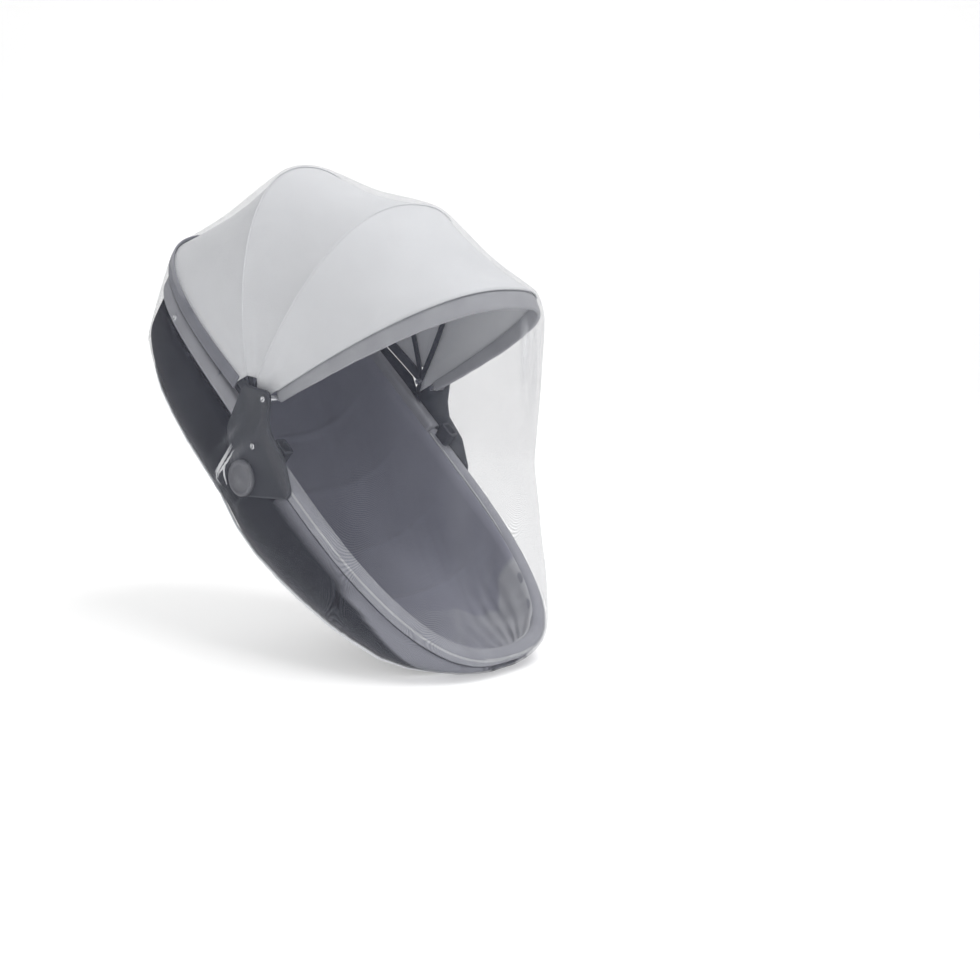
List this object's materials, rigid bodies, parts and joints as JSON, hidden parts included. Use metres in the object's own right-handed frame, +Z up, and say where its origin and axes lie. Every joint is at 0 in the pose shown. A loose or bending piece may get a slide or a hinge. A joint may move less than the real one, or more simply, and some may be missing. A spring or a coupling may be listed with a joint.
{
  "type": "mosquito net on stroller seat and hood",
  "caption": "Sheer white fitted net pulled over a stroller's reclined seat tub and fan hood, gathered by an elastic hem round the back and underside.",
  "frame": {"origin": "middle of the axis through the two round side hubs of the seat", "axes": "+X forwards, the way the child faces; +Y to the child's left along the hub axis; +Z up"},
  "size_m": [0.7359, 0.4598, 0.8065],
  "materials": {
    "net_mesh": "sheer white knitted mesh",
    "hood_cloth": "light grey woven cloth",
    "tub_cloth": "dark grey woven cloth",
    "liner_cloth": "mid grey padded cloth",
    "rim_cloth": "grey padded cloth",
    "rail_plastic": "grey moulded plastic",
    "bow_plastic": "dark grey moulded plastic",
    "steel": "bright steel"
  },
  "bodies": {
    "root": {"rim_foot": "rim_cloth", "rim_head": "rail_plastic", "seat_tub": "tub_cloth", "seat_liner": "liner_cloth", "bow_rear": "bow_plastic", "bow_back": "bow_plastic", "bow_middle": "bow_plastic", "bow_front": "rim_cloth", "back_cloth": "tub_cloth", "hood_cloth": "hood_cloth", "joint_right": "bow_plastic", "hub_right": "rail_plastic", "screw_right_1": "steel", "screw_right_2": "steel", "screw_right_3": "steel", "pin_right_1": "steel", "pin_right_2": "steel", "socket_right": "bow_plastic", "joint_left": "bow_plastic", "hub_left": "rail_plastic", "screw_left_1": "steel", "screw_left_2": "steel", "screw_left_3": "steel", "pin_left_1": "steel", "pin_left_2": "steel", "socket_left": "bow_plastic", "net_cover": "net_mesh"}
  },
  "joints": []
}
